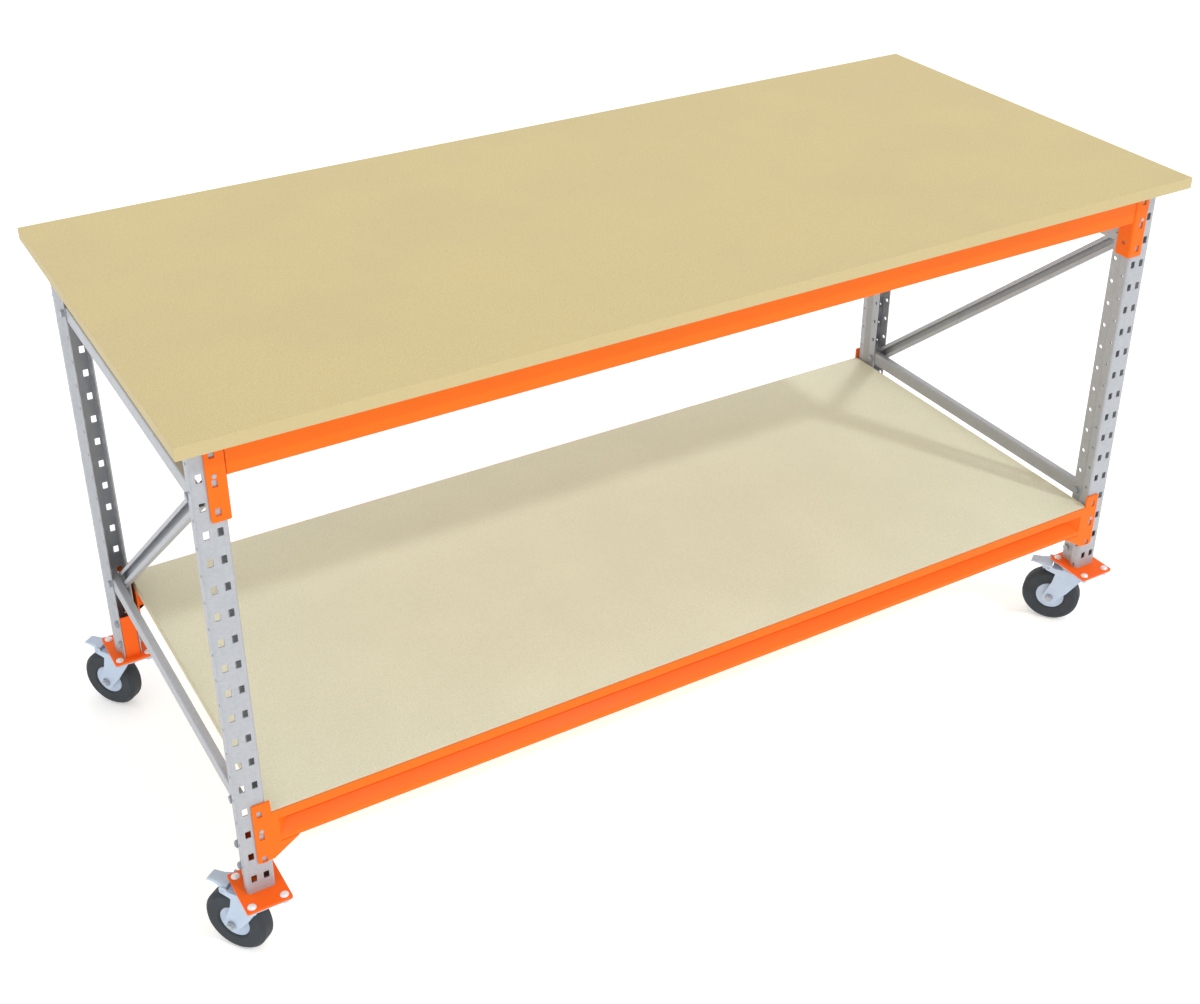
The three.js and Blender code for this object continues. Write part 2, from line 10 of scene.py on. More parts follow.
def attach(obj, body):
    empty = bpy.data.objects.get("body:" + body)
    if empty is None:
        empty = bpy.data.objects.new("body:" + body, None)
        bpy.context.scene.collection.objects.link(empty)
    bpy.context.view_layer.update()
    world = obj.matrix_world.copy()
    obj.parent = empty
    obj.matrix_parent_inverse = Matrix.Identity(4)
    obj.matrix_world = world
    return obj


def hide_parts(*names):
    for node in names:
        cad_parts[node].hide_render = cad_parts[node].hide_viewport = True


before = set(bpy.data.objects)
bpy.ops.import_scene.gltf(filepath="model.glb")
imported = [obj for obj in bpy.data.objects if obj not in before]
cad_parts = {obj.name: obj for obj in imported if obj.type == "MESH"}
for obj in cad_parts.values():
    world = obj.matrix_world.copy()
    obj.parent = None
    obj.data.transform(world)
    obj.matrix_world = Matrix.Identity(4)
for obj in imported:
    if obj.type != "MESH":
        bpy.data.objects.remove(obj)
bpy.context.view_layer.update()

# Sizes in millimetres, the same as the solids
WORKTOP = (2020, 900, 22)
POST_X = 955.5
FACE_Y = 398
SHEET = 2
POST_FOOT = 157
POST_TOP = 1057
POST_HALF = 25
WIDE_DEPTH = 17.7
STEP_END = 30.6
POST_DEPTH = 51.4
THROAT_HALF = 17.7
ROW_PITCH = 50
ROWS = 18
FIRST_ROW = 31
FOOT_ROWS = (0, 1)
LOWER_ROWS = (1, 2, 3)
UPPER_ROWS = (15, 16, 17)
SLOT_X = 11
SLOT = (10, 15)
HOOK_X = POST_X - SLOT_X
BOLT_Y = 42
FLANGE_X = 924
PLATE = 3.5
SHELF_TOP = 322
SHELF_THICK = 20
LIP_TOP = 320.4
RECESS_TOP = 300
RECESS_BOTTOM = 263
RECESS_DEPTH = 42
BEAM_BOTTOM = 251.5
RECESS_X = 912.8
CASTOR_TOP = 152
PLATE_UNDER = 148
CROWN_TOP = 140.7
CROWN_UNDER = 136.7
TRAIL = 53
WHEEL_R = 62.5
LEG_IN = 21
LEG_OUT = 24
PIVOT = (64, 139)
PEDAL_RISE = 7.4
CASTOR_TURN = math.radians(125.7)
GAP = 0.3  # between pieces that rest against each other
CORNERS = {
    "front_left": (-1, -1),
    "front_right": (1, -1),
    "rear_left": (-1, 1),
    "rear_right": (1, 1),
}

# Sizes of the visual model alone
BEND = 5  # outer radius of the bends in the posts and upper connectors
FOLD = 2.2  # radius of the folds in the lower beams and diagonal braces
MILLIMETRE = 0.001
WELD = 0.002  # points closer than this become one


def row_height(row):
    return POST_FOOT + FIRST_ROW + ROW_PITCH * row


# Outlines


def rectangle(a0, a1, b0, b1):
    return [(a0, b0), (a1, b0), (a1, b1), (a0, b1)]


def circle(a, b, radius, sides=20):
    turn = 2 * math.pi / sides
    return [(a + radius * math.cos(i * turn), b + radius * math.sin(i * turn)) for i in range(sides)]


def hexagon(a, b, radius):
    return circle(a, b, radius, 6)


def filleted(path, radius, closed, steps=4):
    """The path with each inner corner replaced by an arc of about the radius."""
    points = [Vector(p) for p in path]
    count = len(points)
    result = []
    for i, corner in enumerate(points):
        if not closed and i in (0, count - 1):
            result.append(tuple(corner))
            continue
        before = points[i - 1] - corner
        after = points[(i + 1) % count] - corner
        angle = before.angle(after)
        reach = min(radius / math.tan(angle / 2), before.length * 0.49, after.length * 0.49)
        start = corner + before.normalized() * reach
        end = corner + after.normalized() * reach
        for k in range(steps + 1):
            t = k / steps
            point = start * (1 - t) ** 2 + corner * 2 * t * (1 - t) + end * t * t
            result.append((point.x, point.y))
    return result


def folded(path, thickness, radius):
    """Outline of a bent sheet whose middle line is the path."""
    line = [Vector(p) for p in filleted(path, radius, closed=False)]
    left = []
    right = []
    for i, point in enumerate(line):
        ahead = line[min(i + 1, len(line) - 1)] - line[max(i - 1, 0)]
        side = Vector((-ahead.y, ahead.x)).normalized() * thickness / 2
        left.append(tuple(point + side))
        right.append(tuple(point - side))
    return left + right[::-1]


def rounded(a0, a1, b0, b1, radius):
    return filleted(rectangle(a0, a1, b0, b1), radius, closed=True)


def centred(a, b, size, radius):
    """Rounded rectangle of a width and height about a point."""
    wide, tall = size
    return rounded(a - wide / 2, a + wide / 2, b - tall / 2, b + tall / 2, radius)


def quarter_bend(a, b, side, thickness):
    """Section of a sheet bent about (a, b), from its front round to the side given as -1 or 1."""
    tight = BEND - thickness
    outer = []
    inner = []
    for k in range(7):
        angle = math.radians(15 * k)
        outer.append((a + side * BEND * math.sin(angle), b - BEND * math.cos(angle)))
        inner.append((a + side * tight * math.sin(angle), b - tight * math.cos(angle)))
    return outer + inner[::-1]


# Meshes

ALONG_X = Matrix(((0, 0, 1, 0), (1, 0, 0, 0), (0, 1, 0, 0), (0, 0, 0, 1)))
ALONG_Y = Matrix(((1, 0, 0, 0), (0, 0, -1, 0), (0, 1, 0, 0), (0, 0, 0, 1)))


def slab(outline, depth, holes):
    """Mesh of an outline with holes, drawn out along its own z axis from 0 to depth."""
    curve = bpy.data.curves.new("outline", "CURVE")
    curve.dimensions = "2D"
    curve.fill_mode = "BOTH"
    curve.extrude = depth / 2
    for points in (outline, *holes):
        spline = curve.splines.new("POLY")
        spline.points.add(len(points) - 1)
        for target, (x, y) in zip(spline.points, points):
            target.co = (x, y, 0, 1)
        spline.use_cyclic_u = True
    holder = bpy.data.objects.new("outline", curve)
    mesh = bpy.data.meshes.new_from_object(holder)
    bpy.data.objects.remove(holder)
    bpy.data.curves.remove(curve)
    mesh.transform(Matrix.Translation((0, 0, depth / 2)))
    return mesh


class Form:
    """A shape put together from slabs and turned pieces, in millimetres."""

    def __init__(self):
        self.bm = bmesh.new()

    def take(self, mesh, matrix):
        mesh.transform(matrix)
        self.bm.from_mesh(mesh)
        bpy.data.meshes.remove(mesh)
        return self

    def along_x(self, outline, x0, x1, holes=()):
        return self.take(slab(outline, x1 - x0, holes), Matrix.Translation((x0, 0, 0)) @ ALONG_X)

    def along_y(self, outline, y0, y1, holes=()):
        return self.take(slab(outline, y1 - y0, holes), Matrix.Translation((0, y1, 0)) @ ALONG_Y)

    def along_z(self, outline, z0, z1, holes=()):
        return self.take(slab(outline, z1 - z0, holes), Matrix.Translation((0, 0, z0)))

    def turned(self, profile, matrix, sides=48):
        """Turns an open profile of (radius, height) points about z, then places it."""
        rings = []
        turn = 2 * math.pi / sides
        for radius, height in profile:
            ring = []
            for i in range(sides):
                place = Vector((radius * math.cos(i * turn), radius * math.sin(i * turn), height))
                ring.append(self.bm.verts.new(matrix @ place))
            rings.append(ring)
        self.skin(rings)
        return self

    def skin(self, rings):
        """Joins each ring of points to the next one with faces."""
        for low, high in zip(rings, rings[1:]):
            for i in range(len(low)):
                j = (i + 1) % len(low)
                self.bm.faces.new((low[i], low[j], high[j], high[i]))

    def mesh(self, name, place):
        bm = self.bm.copy()
        bmesh.ops.remove_doubles(bm, verts=bm.verts, dist=WELD)
        bmesh.ops.dissolve_degenerate(bm, edges=bm.edges, dist=WELD)
        bmesh.ops.recalc_face_normals(bm, faces=bm.faces)
        bmesh.ops.dissolve_limit(bm, angle_limit=math.radians(0.5), verts=bm.verts, edges=bm.edges)
        bmesh.ops.transform(bm, matrix=Matrix.Scale(MILLIMETRE, 4) @ place, verts=bm.verts)
        if place.determinant() < 0:
            bmesh.ops.reverse_faces(bm, faces=bm.faces)
        mesh = bpy.data.meshes.new(name)
        bm.to_mesh(mesh)
        bm.free()
        return mesh


def piece(name, form, look, body="frame", place=Matrix(), nodes=(), bevel=0.4, segments=2):
    """Adds a form to the scene as one piece that rides on a body and may stand for CAD nodes."""
    mesh = form.mesh(name, place)
    mesh.materials.append(look["material"])
    thing = bpy.data.objects.new(name, mesh)
    bpy.context.collection.objects.link(thing)
    if bevel:
        edge = thing.modifiers.new("edges", "BEVEL")
        edge.width = bevel * MILLIMETRE
        edge.segments = segments
        edge.limit_method = "ANGLE"
        edge.angle_limit = math.radians(40)
        edge.use_clamp_overlap = True
    mesh.shade_smooth()
    mesh.set_sharp_from_angle(angle=math.radians(35))
    normals = thing.modifiers.new("flat_faces", "WEIGHTED_NORMAL")
    normals.keep_sharp = True
    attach(thing, body)
    if nodes:
        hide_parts(*nodes)
    return thing


# Materials


def new_material(name, slot, metallic):
    material = bpy.data.materials.new(name)
    material.use_nodes = True
    nodes = material.node_tree.nodes
    shader = nodes["Principled BSDF"]
    shader.inputs["Metallic"].default_value = metallic
    place = nodes.new("ShaderNodeTexCoord")
    return {"material": material, "slot": slot, "shader": shader, "place": place}


def link(look, source, target):
    look["material"].node_tree.links.new(source, target)


def add_node(look, kind, **inputs):
    node = look["material"].node_tree.nodes.new(kind)
    for key, value in inputs.items():
        node.inputs[key].default_value = value
    return node


def stretched(look, scale):
    mapping = add_node(look, "ShaderNodeMapping", Scale=scale)
    link(look, look["place"].outputs["Object"], mapping.inputs["Vector"])
    return mapping.outputs["Vector"]


def noise(look, scale, detail=3.0, vector=None):
    node = add_node(look, "ShaderNodeTexNoise", Scale=scale, Detail=detail)
    link(look, vector or look["place"].outputs["Object"], node.inputs["Vector"])
    return node.outputs["Fac"]


def ramp(look, factor, stops):
    node = look["material"].node_tree.nodes.new("ShaderNodeValToRGB")
    elements = node.color_ramp.elements
    while len(elements) < len(stops):
        elements.new(0.5)
    for element, (position, color) in zip(elements, stops):
        element.position = position
        element.color = (*color, 1)
    link(look, factor, node.inputs["Fac"])
    return node.outputs["Color"]


def mix(look, kind, factor, first, second):
    node = look["material"].node_tree.nodes.new("ShaderNodeMix")
    node.data_type = "RGBA"
    node.blend_type = kind
    if isinstance(factor, float):
        node.inputs["Factor"].default_value = factor
    else:
        link(look, factor, node.inputs["Factor"])
    link(look, first, node.inputs["A"])
    link(look, second, node.inputs["B"])
    return node.outputs["Result"]


def spread(look, factor, low, high):
    node = add_node(look, "ShaderNodeMapRange")
    node.inputs["From Min"].default_value = 0.3
    node.inputs["From Max"].default_value = 0.7
    node.inputs["To Min"].default_value = low
    node.inputs["To Max"].default_value = high
    link(look, factor, node.inputs["Value"])
    return node.outputs["Result"]


def bump(look, height, strength, distance):
    node = add_node(look, "ShaderNodeBump", Strength=strength, Distance=distance)
    link(look, height, node.inputs["Height"])
    link(look, node.outputs["Normal"], look["shader"].inputs["Normal"])


def linear(text):
    """Scene colour of a colour written as six hex digits."""
    parts = [int(text[i : i + 2], 16) / 255 for i in (0, 2, 4)]
    return tuple(p / 12.92 if p <= 0.04045 else ((p + 0.055) / 1.055) ** 2.4 for p in parts)


def board_look(name, slot, dark, middle, light, edge):
    """Fibreboard: fine pressed fibres over broad soft clouds, with a darker sawn edge."""
    look = new_material(name, slot, 0.0)
    fibres = noise(look, 420, 6, stretched(look, (1, 1.4, 1)))
    flecks = noise(look, 1300, 2)
    clouds = noise(look, 5, 4)
    tone = ramp(look, fibres, [(0.3, dark), (0.5, middle), (0.72, light)])
    shade = ramp(look, clouds, [(0.3, (0.93, 0.93, 0.92)), (0.7, (1, 1, 1))])
    fleck = ramp(look, flecks, [(0.28, (0.72, 0.66, 0.56)), (0.4, (1, 1, 1))])
    face = mix(look, "MULTIPLY", 1.0, mix(look, "MULTIPLY", 0.8, tone, shade), fleck)
    layers = noise(look, 40, 5, stretched(look, (2, 2, 60)))
    sawn = ramp(look, layers, [(0.3, tuple(c * 0.86 for c in edge)), (0.7, edge)])
    upward = look["material"].node_tree.nodes.new("ShaderNodeSeparateXYZ")
    link(look, look["place"].outputs["Normal"], upward.inputs["Vector"])
    flat = look["material"].node_tree.nodes.new("ShaderNodeMath")
    flat.operation = "ABSOLUTE"
    link(look, upward.outputs["Z"], flat.inputs[0])
    link(look, mix(look, "MIX", flat.outputs["Value"], sawn, face), look["shader"].inputs["Base Color"])
    link(look, spread(look, clouds, 0.55, 0.72), look["shader"].inputs["Roughness"])
    bump(look, fibres, 0.12, 0.0004)
    return look


def paint_look(name, slot, color):
    """Powder coat: orange-peel skin, slight tone drift and a satin sheen."""
    look = new_material(name, slot, 0.0)
    drift = noise(look, 7, 3)
    peel = noise(look, 620, 2)
    dust = noise(look, 160, 5)
    low = tuple(c * 0.93 for c in color)
    tone = ramp(look, drift, [(0.3, low), (0.7, color)])
    specks = ramp(look, dust, [(0.24, (0.9, 0.88, 0.86)), (0.36, (1, 1, 1))])
    link(look, mix(look, "MULTIPLY", 0.7, tone, specks), look["shader"].inputs["Base Color"])
    link(look, spread(look, drift, 0.34, 0.46), look["shader"].inputs["Roughness"])
    look["shader"].inputs["Specular IOR Level"].default_value = 0.14
    bump(look, peel, 0.10, 0.0003)
    return look


def metal_look(name, slot, dark, light, metallic, rough, grain=(1, 1, 0.12)):
    """Zinc coat: cells of slightly different grey with fine rolling marks."""
    look = new_material(name, slot, metallic)
    cells = add_node(look, "ShaderNodeTexVoronoi", Scale=210.0)
    link(look, look["place"].outputs["Object"], cells.inputs["Vector"])
    spangle = look["material"].node_tree.nodes.new("ShaderNodeSeparateColor")
    link(look, cells.outputs["Color"], spangle.inputs["Color"])
    clouds = noise(look, 16, 4)
    rolling = noise(look, 260, 3, stretched(look, grain))
    tone = ramp(look, spangle.outputs["Red"], [(0.0, dark), (1.0, light)])
    haze = ramp(look, clouds, [(0.3, (0.95, 0.95, 0.96)), (0.7, (1, 1, 1))])
    link(look, mix(look, "MULTIPLY", 0.9, tone, haze), look["shader"].inputs["Base Color"])
    link(look, spread(look, rolling, rough - 0.06, rough + 0.08), look["shader"].inputs["Roughness"])
    bump(look, rolling, 0.08, 0.0002)
    return look


def rubber_look(name, slot, dark, light):
    """Rubber: matt, with dusty clouds and a fine moulded grain."""
    look = new_material(name, slot, 0.0)
    dust = noise(look, 38, 5)
    grain = noise(look, 900, 2)
    link(look, ramp(look, dust, [(0.3, dark), (0.72, light)]), look["shader"].inputs["Base Color"])
    link(look, spread(look, dust, 0.62, 0.82), look["shader"].inputs["Roughness"])
    bump(look, grain, 0.15, 0.0003)
    return look


worktop_look = board_look(
    "worktop_board", "mdf_worktop", linear("c9b57f"), linear("d1bf8b"), linear("d9c998"), linear("cbba88")
)
shelf_look = board_look(
    "shelf_board", "mdf_shelf", linear("dbdabf"), linear("e5e5cd"), linear("edefde"), linear("dbd2af")
)
orange = paint_look("orange_powder_coat", "orange_paint", (0.95, 0.168, 0.009))
deep_orange = paint_look("foot_powder_coat", "orange_paint", (1.0, 0.142, 0.011))
EVEN = (1, 1, 1)
galvanised = metal_look("galvanised_sheet", "galvanised", linear("adb1b6"), linear("b4b7bc"), 0.3, 0.45)
zinc = metal_look("castor_zinc", "zinc_castor", linear("b9cadd"), linear("bfcfe2"), 0.15, 0.4, EVEN)
steel = metal_look("bolt_steel", "galvanised", linear("a3aab2"), linear("b4bac1"), 0.5, 0.38, EVEN)
# Bolt heads: bright zinc whose base colour is raised to near white as a painted highlight, standing for the
# glare on the domes
bolt_head_highlight_look = metal_look("bolt_heads_painted_highlight", "galvanised", linear("e2e4e6"), linear("f3f4f5"), 0.2, 0.3, EVEN)
rubber = rubber_look("tyre_rubber", "tyre_rubber", linear("24292e"), linear("383f46"))
hub_grey = rubber_look("hub_plastic", "hub_plastic", linear("b5c4d7"), linear("c2d0e1"))


def corner_place(side):
    """From a front right-hand form, with Y = 0 on the slotted face, to one of the four corners."""
    x, y = side
    return Matrix.Diagonal((x, -y, 1, 1)) @ Matrix.Translation((0, -FACE_Y, 0))


# Bolts through the posts; the ends are how far each stands out from the sheet
WASHER_R = 8.2
HEX_R = 7.2
THREAD_R = 4
WASHER_END = 1.4
HEAD_END = 6
NUT_END = 6.4
THREAD_END = 8


def bolt_along_x(form, y, z, head, nut):
    """Hexagon head with a washer at the low end of x, and a nut with the thread showing at the high end."""
    form.along_x(circle(y, z, WASHER_R), head - WASHER_END, head)
    form.along_x(hexagon(y, z, HEX_R), head - HEAD_END, head - WASHER_END)
    form.along_x(circle(y, z, THREAD_R), nut, nut + THREAD_END)
    form.along_x(circle(y, z, WASHER_R), nut, nut + WASHER_END)
    form.along_x(hexagon(y, z, HEX_R), nut + WASHER_END, nut + NUT_END)


# Boards
SHELF_GAP = 0.6  # round the connectors
SHELF_END_GAP = 3  # short of the posts
SHELF_LAP = 1  # past the line of the post faces
length, depth, thick = WORKTOP
top_outline = centred(0, 0, (length, depth), 1.5)
top_form = Form().along_z(top_outline, POST_TOP, POST_TOP + thick)
piece("worktop_board", top_form, worktop_look, nodes=["worktop"], bevel=0.8)

notch_x = FLANGE_X - SHELF_GAP
end_x = POST_X - POST_HALF - SHELF_END_GAP
edge_y = FACE_Y + SHELF_LAP
notch_y = FACE_Y - SHELF_GAP
half_shelf = [
    (notch_x, -edge_y),
    (notch_x, -notch_y),
    (end_x, -notch_y),
    (end_x, notch_y),
    (notch_x, notch_y),
    (notch_x, edge_y),
]
shelf_outline = half_shelf + [(-x, y) for x, y in half_shelf[::-1]]
shelf_form = Form().along_z(shelf_outline, SHELF_TOP - SHELF_THICK, SHELF_TOP)
piece("shelf_board", shelf_form, shelf_look, nodes=["lower_shelf"], bevel=0.6)


# Posts
SLOT_CORNER = 1.6
LARGE_HOLE_R = 4.3
SMALL_HOLE_R = 2.8
SMALL_HOLE_Y = 10.4
STEP_SHIFT = 0.5  # the inside of the slanted sheet sits this much nearer the front
THROAT_LAP = 0.3  # of the throat over the end of the slanted sheet


def post_form():
    form = Form()
    slots = []
    small = []
    large = []
    for row in range(ROWS):
        z = row_height(row)
        for x in (-SLOT_X, SLOT_X):
            slots.append(centred(x, z, SLOT, SLOT_CORNER))
        large.append(circle(BOLT_Y, z, LARGE_HOLE_R, 18))
        small.append(circle(SMALL_HOLE_Y, z - ROW_PITCH / 2, SMALL_HOLE_R, 14))
    inner = POST_HALF - BEND
    form.along_y(rectangle(-inner, inner, POST_FOOT, POST_TOP), 0, SHEET, slots)
    for side in (-1, 1):
        form.along_z(quarter_bend(side * inner, BEND, side, SHEET), POST_FOOT, POST_TOP)
        low, high = sorted((side * POST_HALF, side * (POST_HALF - SHEET)))
        form.along_x(rectangle(BEND, WIDE_DEPTH, POST_FOOT, POST_TOP), low, high, small)
        slant = [
            (side * POST_HALF, WIDE_DEPTH),
            (side * (POST_HALF - SHEET), WIDE_DEPTH - STEP_SHIFT),
            (side * (THROAT_HALF - SHEET), STEP_END - STEP_SHIFT),
            (side * THROAT_HALF, STEP_END),
        ]
        form.along_z(slant, POST_FOOT, POST_TOP)
        low, high = sorted((side * THROAT_HALF, side * (THROAT_HALF - SHEET)))
        form.along_x(rectangle(STEP_END - THROAT_LAP, POST_DEPTH, POST_FOOT, POST_TOP), low, high, large)
    return form


post = post_form()
for name, side in CORNERS.items():
    place = corner_place(side) @ Matrix.Translation((POST_X, 0, 0))
    piece(f"slotted_post_{name}", post, galvanised, place=place, nodes=[f"post_{name}"], bevel=0)
    foot_bolts = Form()
    for row in FOOT_ROWS:
        bolt_along_x(foot_bolts, BOLT_Y, row_height(row), -THROAT_HALF, THROAT_HALF)
    piece(f"foot_bolts_{name}", foot_bolts, steel, place=place, bevel=0.5)


# Connectors
WINDOW = (9, 14)
WINDOW_DROP = 13  # under the hook row
HOOK_THICK = 4
HOOK_DROP = 6  # behind the face of the post
LOWER_TAIL = 18.5  # plate under the lowest hook row
UPPER_TAIL = 30
PLATE_HEAD = 8  # plate over the highest hook row
PLATE_END = POST_X + 1
FLANGE_BACK = 33
GUSSET_RUN = 48


def windows(rows):
    return [centred(HOOK_X, row_height(row) - WINDOW_DROP, WINDOW, 1.4) for row in rows]


def hooks(form, rows):
    for row in rows:
        z = row_height(row)
        rest = z - SLOT[1] / 2 + GAP
        outline = [
            (-PLATE + 1, z + 5.5),
            (4.5, z + 4.5),
            (6.5, z + 2),
            (6.5, rest - HOOK_DROP),
            (2.4, rest - HOOK_DROP),
            (2.4, rest),
            (-PLATE + 1, rest),
        ]
        form.along_x(outline, HOOK_X - HOOK_THICK / 2, HOOK_X + HOOK_THICK / 2)


def locking_pin(row):
    """Round head of the pin that keeps the hooks in their slots."""
    dome = [(4, 0), (4, 0.6), (3.6, 1.3), (2.4, 1.9), (0.02, 2.0)]
    place = Matrix.Translation((HOOK_X, -PLATE, row_height(row) - 0.5))
    return Form().turned(dome, place @ Matrix.Rotation(math.pi / 2, 4, "X"), 24)


def recess_end(form):
    """Slanted plate that closes the end of the recess in the lower beam."""
    inset = 0.2
    thickness = 1.5
    reach = RECESS_DEPTH - 5
    slope = (RECESS_TOP - RECESS_BOTTOM) / RECESS_DEPTH
    near = Vector((RECESS_X + 0.9, -PLATE + inset))
    far = Vector((RECESS_X - reach, -PLATE + reach))
    near_low = RECESS_BOTTOM + inset
    far_low = near_low + slope * reach
    corners = []
    for shift in (0.0, thickness):
        for point, low in ((near, near_low), (far, far_low)):
            for z in (low, RECESS_TOP):
                corners.append(form.bm.verts.new((point.x + shift, point.y, z)))
    for ids in ((0, 1, 3, 2), (4, 6, 7, 5), (0, 4, 5, 1), (2, 3, 7, 6), (1, 5, 7, 3), (0, 2, 6, 4)):
        form.bm.faces.new([corners[i] for i in ids])


def lower_connector():
    bottom = row_height(LOWER_ROWS[0]) - LOWER_TAIL
    top = row_height(LOWER_ROWS[-1]) + PLATE_HEAD
    corner = FLANGE_X + PLATE
    around = [(corner, bottom), (PLATE_END, bottom), (PLATE_END, top), (FLANGE_X, top), (FLANGE_X, LIP_TOP)]
    outline = filleted(around, 2, closed=False)
    outline += [(RECESS_X, LIP_TOP), (RECESS_X, BEAM_BOTTOM), (corner - GUSSET_RUN, BEAM_BOTTOM)]
    form = Form()
    openings = windows(LOWER_ROWS)
    form.along_y(outline, -PLATE, -PLATE + SHEET, openings)
    backing = filleted(around[:4] + [(FLANGE_X, bottom)], 2, closed=False)
    form.along_y(backing, -PLATE + SHEET, 0, openings)
    shelf_under = SHELF_TOP - SHELF_THICK
    form.along_x(rectangle(-0.2, FLANGE_BACK, bottom, shelf_under - GAP), FLANGE_X, corner)
    hooks(form, LOWER_ROWS)
    recess_end(form)
    return form


def upper_connector():
    bottom = row_height(UPPER_ROWS[0]) - UPPER_TAIL
    top = row_height(UPPER_ROWS[-1]) + PLATE_HEAD
    left = FLANGE_X + BEND
    front = -PLATE + BEND
    form = Form()
    face = filleted([(left, bottom), (PLATE_END, bottom), (PLATE_END, top), (left, top)], 4, closed=False)
    form.along_y(face, -PLATE, 0, windows(UPPER_ROWS))
    form.along_z(quarter_bend(left, front, -1, PLATE), bottom, top)
    around = [(front, bottom), (FLANGE_BACK, bottom), (FLANGE_BACK, top), (front, top)]
    flange_hole = circle(15, bottom + 28, 4.2)
    form.along_x(filleted(around, 3, closed=False), FLANGE_X, FLANGE_X + PLATE, [flange_hole])
    hooks(form, UPPER_ROWS)
    return form


lower_plate = lower_connector()
upper_plate = upper_connector()
for name, side in CORNERS.items():
    place = corner_place(side)
    for level, form, rows in (("lower", lower_plate, LOWER_ROWS), ("upper", upper_plate, UPPER_ROWS)):
        nodes = [f"{level}_connector_{name}"]
        piece(f"{level}_hook_plate_{name}", form, orange, place=place, nodes=nodes, bevel=0.5)
        piece(f"{level}_locking_pin_{name}", locking_pin(rows[1]), galvanised, place=place, bevel=0)


# Beams
UPPER_BEAM_FRONT = -1
UPPER_BEAM = (40, 75)  # depth and height
BOTTOM_RETURN = 18.5
BEAM_GAP = 0.2  # from the lower connector's plate
BEAM_END = FLANGE_X - GAP


def upper_beam():
    deep, tall = UPPER_BEAM
    front = UPPER_BEAM_FRONT
    back = front + deep
    low = POST_TOP - tall
    outside = rounded(front, back, low, POST_TOP, 3)
    inside = rounded(front + SHEET, back - SHEET, low + SHEET, POST_TOP - SHEET, 1.5)
    return Form().along_x(outside, -BEAM_END, BEAM_END, [inside])


def lower_beam():
    front = -PLATE
    half = SHEET / 2
    back = front + RECESS_DEPTH + 2.5
    path = [
        (front + half, LIP_TOP),
        (front + half, RECESS_TOP + half),
        (back, RECESS_TOP + half),
        (front + half, RECESS_BOTTOM - half),
        (front + half, BEAM_BOTTOM + half),
        (front + BOTTOM_RETURN, BEAM_BOTTOM + half),
    ]
    section = folded(path, SHEET, FOLD)
    section_end = RECESS_X - BEAM_GAP
    form = Form().along_x(section, -section_end, section_end)
    end_path = [(0.5, RECESS_TOP + half), (back, RECESS_TOP + half), (0.5, RECESS_BOTTOM + 1.6)]
    ends = folded(end_path, SHEET, FOLD)
    form.along_x(ends, section_end, BEAM_END)
    form.along_x(ends, -BEAM_END, -section_end)
    return form


upper_rail = upper_beam()
lower_rail = lower_beam()
for name, side in (("front", (1, -1)), ("rear", (1, 1))):
    place = corner_place(side)
    piece(f"upper_rail_{name}", upper_rail, orange, place=place, nodes=[f"upper_beam_{name}"], bevel=0.3)
    piece(f"lower_rail_{name}", lower_rail, orange, place=place, nodes=[f"lower_beam_{name}"], bevel=0)


# Braces
BRACE_Y = FACE_Y - BOLT_Y
UPPER_Z = row_height(UPPER_ROWS[0])
LOWER_Z = row_height(LOWER_ROWS[-1])
THROAT_IN = THROAT_HALF - SHEET - GAP
BRACE_HALF = 15.5 - SHEET / 2  # half height, to the middle of the sheet
BRACE_OVERRUN = 14  # past the bolts
MIDDLE_GAP = 0.9  # from the middle of the post, so that the braces pass each other
LIP_END = 7


def flat_brace(z):
    web = -THROAT_IN + SHEET / 2
    low = z - BRACE_HALF
    high = z + BRACE_HALF
    path = [(-MIDDLE_GAP, low), (web, low), (web, high), (-MIDDLE_GAP, high)]
    end = BRACE_Y + BRACE_OVERRUN
    return Form().along_y(folded(path, SHEET, 2.4), -end, end)


def diagonal_brace():
    run = 2 * BRACE_Y
    rise = UPPER_Z - LOWER_Z
    length = math.hypot(run, rise) + 2 * BRACE_OVERRUN
    half = BRACE_HALF
    web = THROAT_IN - SHEET / 2
    edge = MIDDLE_GAP + SHEET / 2
    path = [(edge, LIP_END), (edge, half), (web, half), (web, -half), (edge, -half), (edge, -LIP_END)]
    matrix = (
        Matrix.Translation((0, 0, (UPPER_Z + LOWER_Z) / 2))
        @ Matrix.Rotation(-math.atan2(rise, run), 4, "X")
        @ Matrix.Translation((0, length / 2, 0))
        @ ALONG_Y
    )
    return Form().take(slab(folded(path, SHEET, FOLD), length, ()), matrix)


for name, x in (("left", -POST_X), ("right", POST_X)):
    place = Matrix.Translation((x, 0, 0))
    struts = {"upper": flat_brace(UPPER_Z), "lower": flat_brace(LOWER_Z), "diagonal": diagonal_brace()}
    for level, form in struts.items():
        nodes = [f"{level}_brace_{name}"]
        piece(f"{level}_strut_{name}", form, galvanised, place=place, nodes=nodes, bevel=0)
    brace_bolts = Form()
    for y in (-BRACE_Y, BRACE_Y):
        for z in (UPPER_Z, LOWER_Z):
            bolt_along_x(brace_bolts, y, z, -THROAT_HALF, THROAT_HALF)
    piece(f"brace_bolts_{name}", brace_bolts, steel, place=place, bevel=0.5)


# Feet
FOOT_Y = 12
FOOT = (82, 104)
CHANNEL_HEIGHT = 99
CHANNEL_SINK = 0.5  # into the plate
BOLT_SPOTS = [(x, y) for x in (-29, 29) for y in (-41, 41)]


